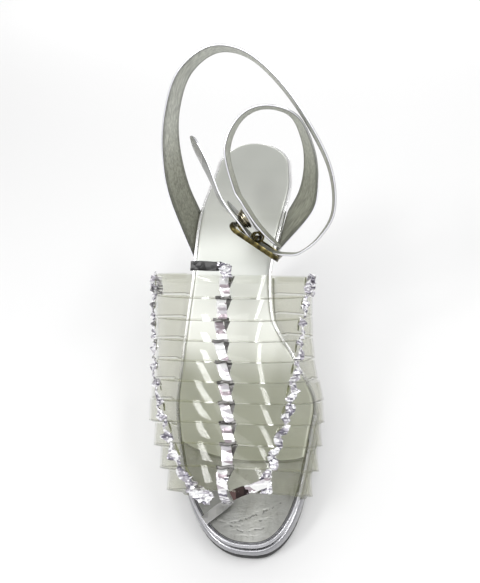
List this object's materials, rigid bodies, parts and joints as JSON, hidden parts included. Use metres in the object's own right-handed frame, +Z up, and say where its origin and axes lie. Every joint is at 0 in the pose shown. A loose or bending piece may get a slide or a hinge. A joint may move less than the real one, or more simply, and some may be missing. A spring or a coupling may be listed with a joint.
{
  "type": "platform sandal",
  "caption": "Right platform sandal with a slender high heel, a vamp of clear strips tied by flat laces, and slack ankle straps closed by a buckle.",
  "frame": {"origin": "on the floor under the ball of the foot, on the foot's line, in the flat of the tread", "axes": "+X to the big toe side, +Y to the heel, +Z up"},
  "size_m": [0.1004, 0.2127, 0.1827],
  "materials": {
    "insole_lining": "pearlised lining with a silver rim",
    "platform_wrap": "silver foil leather",
    "heel_wrap": "silver foil leather",
    "outsole_black": "satin black",
    "heel_tip_black": "matte black",
    "clear_strip": "clear soft plastic, faint olive tint",
    "lace_foil": "crumpled silver foil",
    "silver_leather": "silver outside, grey lining inside",
    "antique_brass": "dark antique"
  },
  "bodies": {
    "root": {"insole": "insole_lining", "platform": "platform_wrap", "outsole": "outsole_black", "heel": "heel_wrap", "heel_top_piece": "heel_tip_black", "upper": "clear_strip", "lace_center": "lace_foil", "lace_lateral": "lace_foil", "lace_medial": "lace_foil", "ankle_strap_lateral": "silver_leather", "ankle_strap_medial": "silver_leather", "buckle_tab": "silver_leather", "buckle_frame": "antique_brass", "buckle_prong": "antique_brass", "strap_stud": "antique_brass"}
  },
  "joints": []
}
